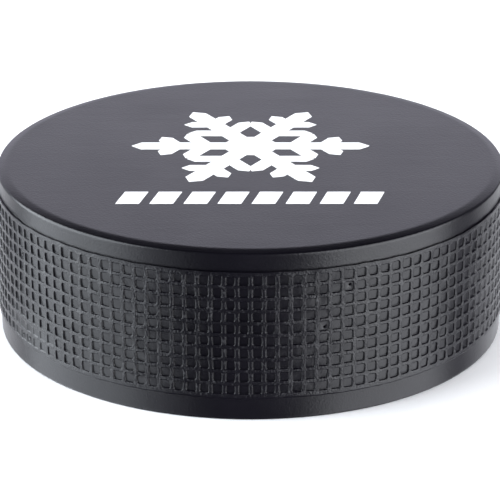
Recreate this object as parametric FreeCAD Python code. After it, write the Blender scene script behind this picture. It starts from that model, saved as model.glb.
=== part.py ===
import FreeCAD, Part
import math
import os

# Ice hockey puck: a moulded rubber disc with a waffle-textured side and an ink print on its top face.
#
# Frame: origin at the centre of the base, +Z up through the disc's axis, all sizes in millimetres.
# The print reads from the -Y side. Nodes written to parts/:
#   puck_body     the moulded disc, with the pockets of its side texture
#   print_emblem  ink film, a snowflake
#   print_dashes  ink film, a row of slanted dashes beneath the snowflake

Vector = FreeCAD.Vector
AXIS = Vector(0, 0, 1)
ORIGIN = Vector(0, 0, 0)

# Disc
DIAMETER = 76.2
THICKNESS = 25.4
BASE_EDGE_RADIUS = 0.4
EDGE_REACH = 1.7  # from the plain side wall in to where the top face is flat
SHOULDER_RADIUS = 3.0  # between the flat top and the bevel
BEVEL_ANGLE = 11  # degrees down from level
RIM_RADIUS = 0.4  # between the bevel and the side wall

# Side texture: raised ribs around square pockets, standing proud of the plain bands
TEXTURE_BASE = 3.55
TEXTURE_HEIGHT = 18.95
BAND_STEP = 0.3
GROOVE_SIZE = 0.1  # square groove in the plain wall, right above the raised band
ROWS = 10
COLUMNS = 128
ROW_PITCH = 1.82
RIB_WIDTH = 0.4
POCKET_DEPTH = 0.25
WALL_RUN = 0.14
CUT_MARGIN = 0.2

# Ink print on the top face
INK_THICKNESS = 0.06
EMBLEM_CENTRE_Y = 5.6
EMBLEM_RADIUS = 18.0
EMBLEM_TURN = 30  # degrees, so that two arms lie level
ARM_COUNT = 6
ARM_WIDTH = 3.0
HUB_RADIUS = 4.6
BRANCH_WIDTH = 2.4
BRANCH_ANGLE = 60
BRANCHES = ((6.6, 6.2), (11.2, 4.6))  # start along the arm, length
DASH_ROW_CENTRE_Y = -16.6
DASH_ROW_WIDTH = 38.8
DASH_HEIGHT = 4.8
DASH_COUNT = 8
DASH_GAP = 1.5
DASH_SLANT = 1.2


def arc_in_section(centre_x, centre_z, radius, start, end):
    """An arc in the XZ plane; its angles are in degrees up from +X."""
    points = []
    for angle in (start, (start + end) / 2, end):
        turn = math.radians(angle)
        points.append(Vector(centre_x + radius * math.cos(turn), 0, centre_z + radius * math.sin(turn)))
    return Part.Arc(*points).toShape()


def disc_section():
    """Half section of the disc in the XZ plane, with the raised band, groove and rounded edges."""
    outer = DIAMETER / 2
    plain = outer - BAND_STEP
    groove = plain - GROOVE_SIZE
    texture_top = TEXTURE_BASE + TEXTURE_HEIGHT
    groove_top = texture_top + GROOVE_SIZE
    base_flat = plain - BASE_EDGE_RADIUS
    top_flat = plain - EDGE_REACH

    slope = math.radians(BEVEL_ANGLE)
    bevel_run = EDGE_REACH - RIM_RADIUS - (SHOULDER_RADIUS - RIM_RADIUS) * math.sin(slope)
    drop = SHOULDER_RADIUS * (1 - math.cos(slope)) + bevel_run * math.tan(slope)
    rim_x = plain - RIM_RADIUS
    rim_z = THICKNESS - drop - RIM_RADIUS * math.cos(slope)
    turned = 90 - BEVEL_ANGLE
    rim = arc_in_section(rim_x, rim_z, RIM_RADIUS, 0, turned)
    shoulder = arc_in_section(top_flat, THICKNESS - SHOULDER_RADIUS, SHOULDER_RADIUS, turned, 90)
    bevel = Part.LineSegment(rim.Vertexes[-1].Point, shoulder.Vertexes[0].Point).toShape()

    side = [
        Vector(plain, 0, BASE_EDGE_RADIUS),
        Vector(plain, 0, TEXTURE_BASE),
        Vector(outer, 0, TEXTURE_BASE),
        Vector(outer, 0, texture_top),
        Vector(groove, 0, texture_top),
        Vector(groove, 0, groove_top),
        Vector(plain, 0, groove_top),
        Vector(plain, 0, rim_z),
    ]
    closing = [Vector(top_flat, 0, THICKNESS), AXIS * THICKNESS, ORIGIN, Vector(base_flat, 0, 0)]
    edges = [arc_in_section(base_flat, BASE_EDGE_RADIUS, BASE_EDGE_RADIUS, -90, 0)]
    edges += [Part.LineSegment(a, b).toShape() for a, b in zip(side, side[1:])]
    edges += [rim, bevel, shoulder]
    edges += [Part.LineSegment(a, b).toShape() for a, b in zip(closing, closing[1:])]
    return Part.Face(Part.Wire(edges))


def rectangle_across_x(x, half_width, half_height):
    corners = [(-1, -1), (1, -1), (1, 1), (-1, 1), (-1, -1)]
    return Part.makePolygon([Vector(x, s * half_width, t * half_height) for s, t in corners])


def pocket_cutter():
    """A tapered block on +X that leaves one square pocket with sloping walls."""
    outer = DIAMETER / 2
    mouth_half_width = math.pi * DIAMETER / COLUMNS / 2 - RIB_WIDTH / 2
    mouth_half_height = ROW_PITCH / 2 - RIB_WIDTH / 2
    spread = CUT_MARGIN * WALL_RUN / POCKET_DEPTH
    floor = rectangle_across_x(
        outer - POCKET_DEPTH, mouth_half_width - WALL_RUN, mouth_half_height - WALL_RUN
    )
    beyond_mouth = rectangle_across_x(
        outer + CUT_MARGIN, mouth_half_width + spread, mouth_half_height + spread
    )
    return Part.makeLoft([floor, beyond_mouth], True, True)


def pocket_cutters():
    """The cutters of every pocket, row by row around the side."""
    cutter = pocket_cutter()
    lowest_row = TEXTURE_BASE + (TEXTURE_HEIGHT - ROWS * ROW_PITCH) / 2 + ROW_PITCH / 2
    cutters = []
    for column in range(COLUMNS):
        for row in range(ROWS):
            placed = cutter.copy()
            placed.translate(Vector(0, 0, lowest_row + row * ROW_PITCH))
            placed.rotate(ORIGIN, AXIS, (column + 0.5) * 360 / COLUMNS)
            cutters.append(placed)
    return cutters


def puck_body():
    disc = disc_section().revolve(ORIGIN, AXIS, 360)
    return disc.cut(pocket_cutters()).Solids[0]


def ink_film(points):
    """A closed outline, given as (x, y) points, printed on the top face."""
    corners = [Vector(x, y, THICKNESS) for x, y in points]
    outline = Part.makePolygon(corners + corners[:1])
    return Part.Face(outline).extrude(AXIS * INK_THICKNESS)


def ink_bar(start, length, width):
    """A bar along +Y from a start distance, with a pointed far end."""
    half = width / 2
    end = start + length
    return ink_film([(-half, start), (half, start), (half, end - half), (0, end), (-half, end - half)])


def snowflake_arm():
    """One arm along +Y with its pairs of side branches."""
    pieces = [ink_bar(0, EMBLEM_RADIUS, ARM_WIDTH)]
    for start, length in BRANCHES:
        for side in (-1, 1):
            branch = ink_bar(0, length, BRANCH_WIDTH)
            branch.rotate(ORIGIN, AXIS, side * BRANCH_ANGLE)
            branch.translate(Vector(0, start, 0))
            pieces.append(branch)
    return pieces


def hub_corners():
    """One corner of the hub on each arm."""
    turns = [math.tau * arm / ARM_COUNT for arm in range(ARM_COUNT)]
    return [(HUB_RADIUS * math.sin(turn), HUB_RADIUS * math.cos(turn)) for turn in turns]


def print_emblem():
    pieces = [ink_film(hub_corners())]
    for arm in range(ARM_COUNT):
        for piece in snowflake_arm():
            piece.rotate(ORIGIN, AXIS, arm * 360 / ARM_COUNT)
            pieces.append(piece)
    flake = pieces[0].multiFuse(pieces[1:]).removeSplitter().Solids[0]
    flake.rotate(ORIGIN, AXIS, EMBLEM_TURN)
    flake.translate(Vector(0, EMBLEM_CENTRE_Y, 0))
    return flake


def print_dashes():
    """Separate slanted dashes in a row."""
    pitch = (DASH_ROW_WIDTH - DASH_SLANT + DASH_GAP) / DASH_COUNT
    width = pitch - DASH_GAP
    low = DASH_ROW_CENTRE_Y - DASH_HEIGHT / 2
    high = DASH_ROW_CENTRE_Y + DASH_HEIGHT / 2
    dashes = []
    for index in range(DASH_COUNT):
        left = index * pitch - DASH_ROW_WIDTH / 2
        right = left + width
        outline = [(left, low), (right, low), (right + DASH_SLANT, high), (left + DASH_SLANT, high)]
        dashes.append(ink_film(outline))
    return Part.Compound(dashes)


def main():
    os.makedirs("parts", exist_ok=True)
    nodes = {
        "puck_body": puck_body(),
        "print_emblem": print_emblem(),
        "print_dashes": print_dashes(),
    }
    for name, shape in nodes.items():
        shape.exportStep(f"parts/{name}.step")
        print(name, "solids", len(shape.Solids), "valid", shape.isValid(), "mm3", round(shape.Volume, 2))


main()
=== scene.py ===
"""Ice hockey puck: the moulded disc in full detail, its ink print, a pale floor and soft studio light."""
import math
import random

import bpy
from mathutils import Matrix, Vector, noise


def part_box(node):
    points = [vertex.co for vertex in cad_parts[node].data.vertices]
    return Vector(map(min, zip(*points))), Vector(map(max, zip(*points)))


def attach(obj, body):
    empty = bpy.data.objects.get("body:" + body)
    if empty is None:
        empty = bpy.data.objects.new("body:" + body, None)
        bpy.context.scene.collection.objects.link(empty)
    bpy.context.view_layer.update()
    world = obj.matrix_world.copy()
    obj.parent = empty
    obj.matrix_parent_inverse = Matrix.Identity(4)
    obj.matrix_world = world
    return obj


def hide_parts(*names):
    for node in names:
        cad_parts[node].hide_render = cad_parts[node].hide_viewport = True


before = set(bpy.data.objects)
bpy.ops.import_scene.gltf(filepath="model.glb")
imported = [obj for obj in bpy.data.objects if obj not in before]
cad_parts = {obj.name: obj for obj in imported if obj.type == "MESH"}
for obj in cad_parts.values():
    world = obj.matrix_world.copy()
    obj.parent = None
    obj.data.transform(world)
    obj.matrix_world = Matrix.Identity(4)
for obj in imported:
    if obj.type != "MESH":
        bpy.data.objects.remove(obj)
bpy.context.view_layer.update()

MM = 0.001
TAU = math.tau

# The disc's main sizes come from the CAD node
low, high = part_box("puck_body")
OUTER_RADIUS = (high[0] - low[0]) / 2
BASE_Z = low[2]
TOP_Z = high[2]
BAND_STEP = 0.3 * MM  # the raised band stands this far out
PLAIN_RADIUS = OUTER_RADIUS - BAND_STEP

# Edges
BASE_EDGE_RADIUS = 0.4 * MM
EDGE_REACH = 1.7 * MM  # from the plain side wall in to where the top face is flat
SHOULDER_RADIUS = 3.0 * MM  # between the flat top and the bevel
BEVEL_ANGLE = 11  # degrees down from level
RIM_RADIUS = 0.4 * MM  # between the bevel and the side wall
RIM_LEAN = 0.04 * MM  # how far the plain band leans in on its way up to the rim
ARC_STEPS = 5
SUPPORT = 0.25 * MM  # distance from a rounded edge to the loop that keeps the flat beside it flat
FLAT_SHARES = (1.0, 0.6, 0.1)  # loops across a flat face, as shares of its radius

# Side texture
ROWS = 10
COLUMNS = 128
ROW_PITCH = 1.82 * MM
COLUMN_PITCH = TAU * OUTER_RADIUS / COLUMNS
TEXTURE_BASE = BASE_Z + 3.55 * MM
TEXTURE_TOP = TEXTURE_BASE + 18.95 * MM
LATTICE_BASE = (TEXTURE_BASE + TEXTURE_TOP - ROWS * ROW_PITCH) / 2
RIB_WIDTH = 0.4 * MM
POCKET_DEPTH = 0.25 * MM
POCKET_CORNER = 0.26 * MM
TIGHTEST_CORNER = 0.06 * MM
CORNER_SPREAD = (0.8, 1.25)
SIZE_SPREAD = 0.045 * MM
SHALLOWEST = 0.68  # share of the full depth
FLOOR_SLANT = 0.22  # a pocket's floor is this share deeper at its lower edge, shallower at its upper one
WALL_TILT = math.radians(57)
# Loops from a rib's flat crest to the pocket's floor: inset from the rib's edge, share of the depth, tilt
POCKET_LOOPS = (
    (-0.05 * MM, 0.0, 0.0),
    (0.03 * MM, 0.12, WALL_TILT),
    (0.08 * MM, 0.9, WALL_TILT),
    (0.16 * MM, 1.0, 0.0),
)

# Borders of the raised band in mm: distance out from the plain band, distance past the border
CREST_EDGE = ((BAND_STEP / MM, 0.0), (0.29, 0.02))
TOP_LEDGE = CREST_EDGE + ((0.02, -0.01), (-0.1, 0.0), (-0.1, 0.07), (0.0, 0.1), (0.0, 0.14), (0.0, 0.45))
BASE_LEDGE = CREST_EDGE + ((0.02, 0.25), (0.0, 0.28), (0.0, 0.32), (0.0, 0.5))
EVEN_LOOPS = 1  # at the far side of a border; the others are as uneven as the lattice
LOOP_THINNING = 3  # an even loop has one vertex for this many of the lattice's

# Moulding flaws
SEED = 7  # of both the vector noise and the random draws
WOBBLE_FINE = 0.1 * MM
WOBBLE_COARSE = 0.1 * MM
FINE_FREQUENCY = 850.0
COARSE_FREQUENCY = 110.0
PINHOLE_CHANCE = 0.03
PINHOLE_REACH = 0.26 * MM  # how far from a pocket's middle one may lie
UNEVEN_SHADE = 0.09  # lean of the shading normals
# Rings of a pinhole: radius, depth below the pocket's floor
PINHOLE_RINGS = ((0.2 * MM, 0.0), (0.17 * MM, 0.03 * MM), (0.14 * MM, 0.4 * MM))
PINHOLE_DEPTH = 0.45 * MM
# Places where the pockets are filled in: degrees from the front, height in mm, half sizes, strength
SMUDGES = ((-57, 6.3, 11, 3.0, 0.95), (70, 13.0, 16, 20.0, 0.75))
SMUDGE_EDGE = 0.25
SMUDGE_NOISE = 0.35
SMUDGE_FREQUENCY = 300.0
MOST_FILLED = 0.7

STREAK_TURN = math.radians(6)  # of the faint streaks, away from the X axis

# Camera
CAMERA_ELEVATION = math.radians(21.75)
CAMERA_DISTANCE = 0.433
CAMERA_TARGET = Vector((-0.08 * MM, 0, BASE_Z + 10.7 * MM))
FOCAL_LENGTH = 205.8
SENSOR_WIDTH = 36.0

# Stage
FLOOR_HALF_SIZE = 3.0
LEFT_COLOUR = (0.89, 0.945, 1.0)
RIGHT_COLOUR = (0.93, 0.955, 1.0)
WORLD_COLOUR = (0.82, 0.78, 1.0)
WORLD_STRENGTH = 0.071


def around(radius, angle, z):
    """A point at that radius and height; angle is measured from the front (-Y) towards +X."""
    return Vector((radius * math.sin(angle), -radius * math.cos(angle), z))


class MeshBuilder:
    """Collects vertices, each with a wear value and perhaps a normal, and faces."""

    def __init__(self):
        self.points = []
        self.wear = []
        self.normals = []
        self.faces = []

    def add(self, point, wear=0.0, normal=(0, 0, 0)):
        """A zero normal leaves it to the faces around the vertex."""
        self.points.append(point)
        self.wear.append(wear)
        self.normals.append(tuple(normal))
        return len(self.points) - 1

    def add_crest(self, angle, z):
        """A worn vertex on a rib's centre line."""
        point = wobble(around(OUTER_RADIUS, angle, z))
        return self.add(point, 1.0, surface_normal(point, (0, 0), 0.0))

    def ring(self, radius, z, angles, uneven, upright):
        """A loop of vertices; an upright one is shaded as part of the side's surface."""
        points = [around(radius, angle, z) for angle in angles]
        if uneven:
            points = [wobble(point) for point in points]
        normals = [surface_normal(point, (0, 0), 0.0) if upright else (0, 0, 0) for point in points]
        return [self.add(point, 0.0, normal) for point, normal in zip(points, normals)]

    def bridge(self, first, second, flip=False):
        """Faces between two closed loops; the second may have an even share of the first's points."""
        count = len(second)
        step = len(first) // count
        for k in range(count):
            face = [first[(k * step + j) % len(first)] for j in range(step + 1)]
            face += [second[(k + 1) % count], second[k]]
            self.faces.append(face[::-1] if flip else face)

    def cap(self, loop, centre):
        count = len(loop)
        for k in range(count):
            self.faces.append((loop[k], loop[(k + 1) % count], centre))

    def make(self, name):
        mesh = bpy.data.meshes.new(name)
        mesh.from_pydata([tuple(p) for p in self.points], [], self.faces)
        mesh.update()
        attribute = mesh.attributes.new("wear", "FLOAT", "POINT")
        attribute.data.foreach_set("value", self.wear)
        mesh.shade_smooth()
        mesh.normals_split_custom_set_from_vertices(self.normals)
        obj = bpy.data.objects.new(name, mesh)
        bpy.context.scene.collection.objects.link(obj)
        return obj


def wobble(point):
    """Small irregular shift of the moulded lattice, along the surface only."""
    fine = noise.noise_vector(point * FINE_FREQUENCY) * WOBBLE_FINE
    coarse = noise.noise_vector(point * COARSE_FREQUENCY) * WOBBLE_COARSE
    shift = fine + coarse
    outward = Vector((point.x, point.y, 0)).normalized()
    return point + shift - outward * shift.dot(outward)


def surface_normal(point, sideways, tilt, droop=0.0):
    """The side's normal, tilted sideways along (around, up) and drooping, with a little unevenness."""
    outward = Vector((point.x, point.y, 0)).normalized()
    rightward = Vector((-outward.y, outward.x, 0))
    lean = noise.noise_vector(point * FINE_FREQUENCY) * UNEVEN_SHADE
    normal = outward * math.cos(tilt) + rightward * (sideways[0] * math.sin(tilt) + lean.x)
    normal.z = sideways[1] * math.sin(tilt) + lean.z - math.sin(droop)
    return normal.normalized()


def smudge(angle, z):
    """How far the pockets are filled in at this place, from 0 to 1."""
    filled = SMUDGE_NOISE * noise.noise(around(OUTER_RADIUS, angle, z) * SMUDGE_FREQUENCY) - SMUDGE_EDGE
    for azimuth, height, half_width, half_height, strength in SMUDGES:
        across = ((math.degrees(angle) - azimuth + 180) % 360 - 180) / half_width
        up = ((z - BASE_Z) / MM - height) / half_height
        filled += strength * math.exp(-(across * across + up * up))
    return min(MOST_FILLED, max(0.0, filled))


def rounded_square(half_width, half_height, corner):
    """Twelve points, anticlockwise from the lower left corner: three at each corner."""
    cut = corner * (1 - math.sqrt(0.5))
    w, h, r = half_width, half_height, corner
    return [
        (-w + cut, -h + cut),
        (-w + r, -h),
        (w - r, -h),
        (w - cut, -h + cut),
        (w, -h + r),
        (w, h - r),
        (w - cut, h - cut),
        (w - r, h),
        (-w + r, h),
        (-w + cut, h - cut),
        (-w, h - r),
        (-w, -h + r),
    ]


MOUTH_HALF_WIDTH = (COLUMN_PITCH - RIB_WIDTH) / 2
MOUTH_HALF_HEIGHT = (ROW_PITCH - RIB_WIDTH) / 2
SIDE_REACH = MOUTH_HALF_WIDTH - POCKET_CORNER
SIDE_RISE = MOUTH_HALF_HEIGHT - POCKET_CORNER
# Directions outward from a pocket's middle: evenly round a pinhole, and square to the walls at twelve points
RING_TURNS = [math.radians(225 + 30 * k) for k in range(12)]
WALL_TURNS = [math.radians(turn) for turn in (225, 270, 270, 315, 0, 0, 45, 90, 90, 135, 180, 180)]


def column_angles():
    """Three angles to a column: its rib line, and where the pocket's corners end."""
    angles = []
    for column in range(COLUMNS):
        middle = (column + 0.5) * COLUMN_PITCH
        for along in (-COLUMN_PITCH / 2, -SIDE_REACH, SIDE_REACH):
            angles.append((middle + along) / OUTER_RADIUS)
    return angles


def rib_lines(builder, angles):
    """Vertices on the ribs' centre lines: rings along the rows and posts between them."""
    rings = []
    for row in range(ROWS + 1):
        z = LATTICE_BASE + row * ROW_PITCH
        rings.append([builder.add_crest(angle, z) for angle in angles])
    posts = []
    for row in range(ROWS):
        middle = LATTICE_BASE + (row + 0.5) * ROW_PITCH
        posts.append([])
        for column in range(COLUMNS):
            angle = angles[3 * column]
            heights = (middle - SIDE_RISE, middle + SIDE_RISE)
            posts[row].append([builder.add_crest(angle, z) for z in heights])
    return rings, posts


def cell_border(rings, posts, row, column):
    """The twelve rib-line vertices around one pocket."""
    start = 3 * column
    after = (start + 3) % (3 * COLUMNS)
    below, above = rings[row], rings[row + 1]
    left = posts[row][column]
    right = posts[row][(column + 1) % COLUMNS]
    border = [below[start], below[start + 1], below[start + 2], below[after]]
    border += [right[0], right[1]]
    border += [above[after], above[start + 2], above[start + 1], above[start]]
    border += [left[1], left[0]]
    return border


def pocket(builder, border, row, column, rng):
    """One recessed pocket, with its own small differences in size, corners and depth."""
    middle_angle = (column + 0.5) * COLUMN_PITCH / OUTER_RADIUS
    middle_z = LATTICE_BASE + (row + 0.5) * ROW_PITCH
    size = rng.uniform(-SIZE_SPREAD, SIZE_SPREAD)
    corner = POCKET_CORNER * rng.uniform(*CORNER_SPREAD)
    open_share = 1 - smudge(middle_angle, middle_z)
    depth = POCKET_DEPTH * rng.uniform(SHALLOWEST, 1.0) * open_share
    pinhole = rng.random() < PINHOLE_CHANCE
    side = Vector((rng.uniform(-1, 1), rng.uniform(-1, 1))) * (PINHOLE_REACH if pinhole else 0)
    droop = math.atan(FLOOR_SLANT * depth / MOUTH_HALF_HEIGHT)

    def place(x, y, sunk):
        radius = OUTER_RADIUS - sunk
        return wobble(around(radius, middle_angle + x / OUTER_RADIUS, middle_z + y))

    outer = border
    for inset, share, tilt in POCKET_LOOPS:
        half_width = MOUTH_HALF_WIDTH - inset + size
        half_height = MOUTH_HALF_HEIGHT - inset + size
        shape = rounded_square(half_width, half_height, max(corner - inset, TIGHTEST_CORNER))
        loop = []
        for (x, y), turn in zip(shape, WALL_TURNS):
            point = place(x, y, depth * share * (1 - FLOOR_SLANT * y / MOUTH_HALF_HEIGHT))
            sideways = (-math.cos(turn), -math.sin(turn))
            normal = surface_normal(point, sideways, tilt * open_share, droop * share)
            loop.append(builder.add(point, 1 - share, normal))
        builder.bridge(outer, loop)
        outer = loop
    for radius, sunk in PINHOLE_RINGS if pinhole else ():
        shape = [side + radius * Vector((math.cos(turn), math.sin(turn))) for turn in RING_TURNS]
        loop = [builder.add(place(x, y, depth + sunk)) for x, y in shape]
        builder.bridge(outer, loop)
        outer = loop
    pit = place(side.x, side.y, depth + (PINHOLE_DEPTH if pinhole else 0))
    normal = (0, 0, 0) if pinhole else surface_normal(pit, (0, 0), 0.0, droop)
    builder.cap(outer, builder.add(pit, 0.0, normal))


def arc_in_section(radius, z, size, start, end):
    """(radius, z) points along an arc about that centre, between angles in degrees up from outward."""
    turns = [math.radians(start + (end - start) * step / ARC_STEPS) for step in range(ARC_STEPS + 1)]
    return [(radius + size * math.cos(turn), z + size * math.sin(turn)) for turn in turns]


def ledge_profile(steps, ledge, away):
    """(radius, z) points from the raised band to the plain band beyond it."""
    return [(PLAIN_RADIUS + out * MM, ledge + away * along * MM) for out, along in steps]


def flat_profile(radius, z):
    """(radius, z) points across a flat face, from just inside its edge to near the centre."""
    return [((radius - SUPPORT) * share, z) for share in FLAT_SHARES]


def top_profile():
    """From the top of the raised band over the rim, bevel and shoulder to near the centre."""
    flat = PLAIN_RADIUS - EDGE_REACH
    slope = math.radians(BEVEL_ANGLE)
    bevel_run = EDGE_REACH - RIM_RADIUS - (SHOULDER_RADIUS - RIM_RADIUS) * math.sin(slope)
    drop = SHOULDER_RADIUS * (1 - math.cos(slope)) + bevel_run * math.tan(slope)
    rim_z = TOP_Z - drop - RIM_RADIUS * math.cos(slope)
    turned = 90 - BEVEL_ANGLE
    wall = PLAIN_RADIUS - RIM_LEAN
    profile = ledge_profile(TOP_LEDGE, TEXTURE_TOP, 1) + [(wall, rim_z - SUPPORT)]
    profile += arc_in_section(wall - RIM_RADIUS, rim_z, RIM_RADIUS, 0, turned)
    profile += arc_in_section(flat, TOP_Z - SHOULDER_RADIUS, SHOULDER_RADIUS, turned, 90)
    return profile + flat_profile(flat, TOP_Z)


def base_profile():
    """From the bottom of the raised band round the base edge to near the centre."""
    flat = PLAIN_RADIUS - BASE_EDGE_RADIUS
    profile = ledge_profile(BASE_LEDGE, TEXTURE_BASE, -1)
    profile += [(PLAIN_RADIUS, BASE_Z + BASE_EDGE_RADIUS + SUPPORT)]
    profile += arc_in_section(flat, BASE_Z + BASE_EDGE_RADIUS, BASE_EDGE_RADIUS, 0, -90)
    return profile + flat_profile(flat, BASE_Z)


def close_end(builder, start, angles, profile, uneven_loops, centre_z, flip):
    """Lathes a profile from the start loop and closes it at the centre."""
    previous = start
    for index, (radius, z) in enumerate(profile):
        uneven = index < uneven_loops
        loop_angles = angles if uneven else angles[::LOOP_THINNING]
        loop = builder.ring(radius, z, loop_angles, uneven, upright=index == 0)
        builder.bridge(previous, loop, flip)
        previous = loop
    centre = builder.add(Vector((0, 0, centre_z)))
    builder.cap(previous[::-1] if flip else previous, centre)


def build_puck():
    builder = MeshBuilder()
    noise.seed_set(SEED)
    rng = random.Random(SEED)
    angles = column_angles()
    rings, posts = rib_lines(builder, angles)
    for row in range(ROWS):
        for column in range(COLUMNS):
            pocket(builder, cell_border(rings, posts, row, column), row, column, rng)
    close_end(builder, rings[-1], angles, top_profile(), len(TOP_LEDGE) - EVEN_LOOPS, TOP_Z, False)
    close_end(builder, rings[0], angles, base_profile(), len(BASE_LEDGE) - EVEN_LOOPS, BASE_Z, True)
    return builder.make("moulded_puck")


def new_material(name):
    material = bpy.data.materials.new(name)
    material.use_nodes = True
    tree = material.node_tree
    return material, tree, tree.nodes["Principled BSDF"]


def noise_texture(tree, coordinates, scale, detail=3.0, stretch=None):
    """A noise texture over object coordinates, stretched along axes if asked."""
    texture = tree.nodes.new("ShaderNodeTexNoise")
    texture.inputs["Scale"].default_value = scale
    texture.inputs["Detail"].default_value = detail
    if stretch:
        mapping = tree.nodes.new("ShaderNodeMapping")
        mapping.inputs["Rotation"].default_value = (0, 0, STREAK_TURN)
        mapping.inputs["Scale"].default_value = stretch
        tree.links.new(coordinates, mapping.inputs["Vector"])
        coordinates = mapping.outputs["Vector"]
    tree.links.new(coordinates, texture.inputs["Vector"])
    return texture.outputs["Fac"]


def remap(tree, value, low_in, high_in, low_out, high_out):
    node = tree.nodes.new("ShaderNodeMapRange")
    node.inputs["From Min"].default_value = low_in
    node.inputs["From Max"].default_value = high_in
    node.inputs["To Min"].default_value = low_out
    node.inputs["To Max"].default_value = high_out
    tree.links.new(value, node.inputs["Value"])
    return node.outputs["Result"]


def math_node(tree, operation, a, b):
    node = tree.nodes.new("ShaderNodeMath")
    node.operation = operation
    for socket, value in zip(node.inputs, (a, b)):
        if isinstance(value, (int, float)):
            socket.default_value = value
        else:
            tree.links.new(value, socket)
    return node.outputs["Value"]


def mix_colours(tree, factor, first, second):
    node = tree.nodes.new("ShaderNodeMix")
    node.data_type = "RGBA"
    tree.links.new(factor, node.inputs["Factor"])
    for socket, value in ((node.inputs["A"], first), (node.inputs["B"], second)):
        if isinstance(value, tuple):
            socket.default_value = (*value, 1)
        else:
            tree.links.new(value, socket)
    return node.outputs["Result"]


def add_bump(tree, shader, height, distance, strength):
    node = tree.nodes.new("ShaderNodeBump")
    node.inputs["Distance"].default_value = distance
    node.inputs["Strength"].default_value = strength
    tree.links.new(height, node.inputs["Height"])
    tree.links.new(node.outputs["Normal"], shader.inputs["Normal"])


def black_rubber():
    """Moulded black: satin, faintly mottled and streaked, with dust and a stronger grain on the ribs."""
    material, tree, shader = new_material("black_rubber")
    coordinates = tree.nodes.new("ShaderNodeTexCoord").outputs["Object"]
    mottle = noise_texture(tree, coordinates, 90, 4)
    streaks = noise_texture(tree, coordinates, 240, 4, stretch=(0.3, 3.0, 1.0))
    grain = noise_texture(tree, coordinates, 3200, 2)
    specks = noise_texture(tree, coordinates, 1500, 1)

    patches = remap(tree, mottle, 0.35, 0.65, 0, 1)
    base = mix_colours(tree, patches, (0.0012, 0.001, 0.0022), (0.0022, 0.0018, 0.0036))
    wear = tree.nodes.new("ShaderNodeAttribute")
    wear.attribute_name = "wear"
    dust = math_node(tree, "MULTIPLY", wear.outputs["Fac"], remap(tree, specks, 0.6, 0.74, 0.0, 0.5))
    tree.links.new(mix_colours(tree, dust, base, (0.035, 0.035, 0.037)), shader.inputs["Base Color"])

    blotches = remap(tree, mottle, 0.3, 0.7, 0.295, 0.33)
    patchy = math_node(tree, "ADD", blotches, remap(tree, streaks, 0.3, 0.7, -0.015, 0.015))
    tree.links.new(patchy, shader.inputs["Roughness"])
    shader.inputs["IOR"].default_value = 1.34
    roughness = math_node(tree, "ADD", wear.outputs["Fac"], 0.35)
    relief = math_node(tree, "MULTIPLY", math_node(tree, "SUBTRACT", grain, 0.5), roughness)
    add_bump(tree, shader, relief, 0.075 * MM, 1.0)
    return material


def white_ink():
    """Matt white screen ink with a barely uneven film."""
    material, tree, shader = new_material("white_ink")
    coordinates = tree.nodes.new("ShaderNodeTexCoord").outputs["Object"]
    patches = noise_texture(tree, coordinates, 350, 3)
    grain = noise_texture(tree, coordinates, 4000, 2)
    shade = remap(tree, patches, 0.35, 0.65, 0, 1)
    colour = mix_colours(tree, shade, (0.86, 0.86, 0.86), (0.92, 0.92, 0.915))
    tree.links.new(colour, shader.inputs["Base Color"])
    tree.links.new(remap(tree, patches, 0.3, 0.7, 0.42, 0.52), shader.inputs["Roughness"])
    add_bump(tree, shader, grain, 0.01 * MM, 0.3)
    return material


def pale_floor_material():
    material, tree, shader = new_material("pale_floor")
    coordinates = tree.nodes.new("ShaderNodeTexCoord").outputs["Object"]
    tone = noise_texture(tree, coordinates, 3, 2)
    colour = mix_colours(tree, tone, (0.93, 0.93, 0.93), (0.95, 0.95, 0.95))
    tree.links.new(colour, shader.inputs["Base Color"])
    shader.inputs["Roughness"].default_value = 0.9
    shader.inputs["Specular IOR Level"].default_value = 0.1
    return material


def make_floor():
    mesh = bpy.data.meshes.new("floor")
    signs = ((-1, -1), (1, -1), (1, 1), (-1, 1))
    corners = [(FLOOR_HALF_SIZE * x, FLOOR_HALF_SIZE * y, BASE_Z) for x, y in signs]
    mesh.from_pydata(corners, [], [(0, 1, 2, 3)])
    floor = bpy.data.objects.new("floor", mesh)
    bpy.context.scene.collection.objects.link(floor)
    mesh.materials.append(pale_floor_material())
    floor.visible_glossy = False
    floor.visible_shadow = False
    return floor


def softbox(name, azimuth, elevation, distance, width, height, radiance, colour):
    """A soft area light that faces the puck; azimuth 0 is the front and 90 the right, in degrees."""
    light = bpy.data.lights.new(name, "AREA")
    light.shape = "RECTANGLE"
    light.size = width
    light.size_y = height
    light.energy = radiance * math.pi * width * height
    light.color = colour
    lamp = bpy.data.objects.new(name, light)
    lamp.visible_camera = False
    bpy.context.scene.collection.objects.link(lamp)
    middle = Vector((0, 0, (BASE_Z + TOP_Z) / 2))
    level = distance * math.cos(math.radians(elevation))
    rise = distance * math.sin(math.radians(elevation))
    lamp.location = around(level, math.radians(azimuth), middle.z + rise)
    lamp.rotation_euler = (middle - lamp.location).to_track_quat("-Z", "Y").to_euler()
    return lamp


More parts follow.
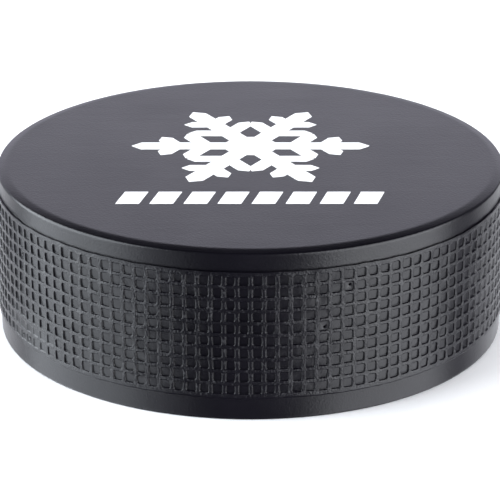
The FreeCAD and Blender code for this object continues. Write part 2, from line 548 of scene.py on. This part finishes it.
def make_lights(floor):
    """Panels at both sides, dimmer ones below them for what a table throws back, and one behind."""
    softbox("softbox_left", -87, 15, 0.8, 1.12, 0.8, 9.5, LEFT_COLOUR)
    softbox("bounce_left", -85, -30, 0.8, 0.94, 0.75, 3.75, LEFT_COLOUR)
    softbox("fill_left", -41, -5, 0.8, 0.36, 1.2, 0.9, (0.89, 0.93, 1.0))
    softbox("softbox_right", 59, 10.5, 0.8, 1.1, 0.7, 6.8, RIGHT_COLOUR)
    softbox("bounce_right", 64, -30, 0.8, 0.88, 0.75, 4.1, RIGHT_COLOUR)
    softbox("bounce_back", 176, -35, 0.8, 1.9, 0.72, 1.35, (0.93, 0.95, 1.0))
    softbox("back_panel", 180, 15.5, 1.2, 2.0, 0.58, 1.46, (0.87, 0.86, 1.0))
    overhead = softbox("overhead", 180, 85, 1.3, 0.9, 0.9, 3.85, (1.0, 1.0, 1.0))
    receivers = bpy.data.collections.new("overhead_receivers")
    for lit in (floor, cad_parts["print_emblem"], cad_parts["print_dashes"]):
        receivers.objects.link(lit)
    overhead.light_linking.receiver_collection = receivers


def make_world():
    world = bpy.data.worlds.new("studio")
    world.use_nodes = True
    background = world.node_tree.nodes["Background"]
    background.inputs["Color"].default_value = (*WORLD_COLOUR, 1)
    background.inputs["Strength"].default_value = WORLD_STRENGTH
    bpy.context.scene.world = world


def make_camera():
    data = bpy.data.cameras.new("camera")
    data.sensor_width = SENSOR_WIDTH
    data.lens = FOCAL_LENGTH
    camera = bpy.data.objects.new("camera", data)
    bpy.context.scene.collection.objects.link(camera)
    back = Vector((0, -math.cos(CAMERA_ELEVATION), math.sin(CAMERA_ELEVATION)))
    camera.location = CAMERA_TARGET + back * CAMERA_DISTANCE
    camera.rotation_euler = (math.pi / 2 - CAMERA_ELEVATION, 0, 0)
    bpy.context.scene.camera = camera


def finish_print():
    """The ink films keep their CAD shape and get the ink material."""
    ink = white_ink()
    for node in ("print_emblem", "print_dashes"):
        for material_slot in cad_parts[node].material_slots:
            material_slot.material = ink


make_camera()
puck = build_puck()
puck.data.materials.append(black_rubber())
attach(puck, "root")
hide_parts("puck_body")
finish_print()
make_lights(make_floor())
make_world()
bpy.context.scene.view_settings.view_transform = "Standard"
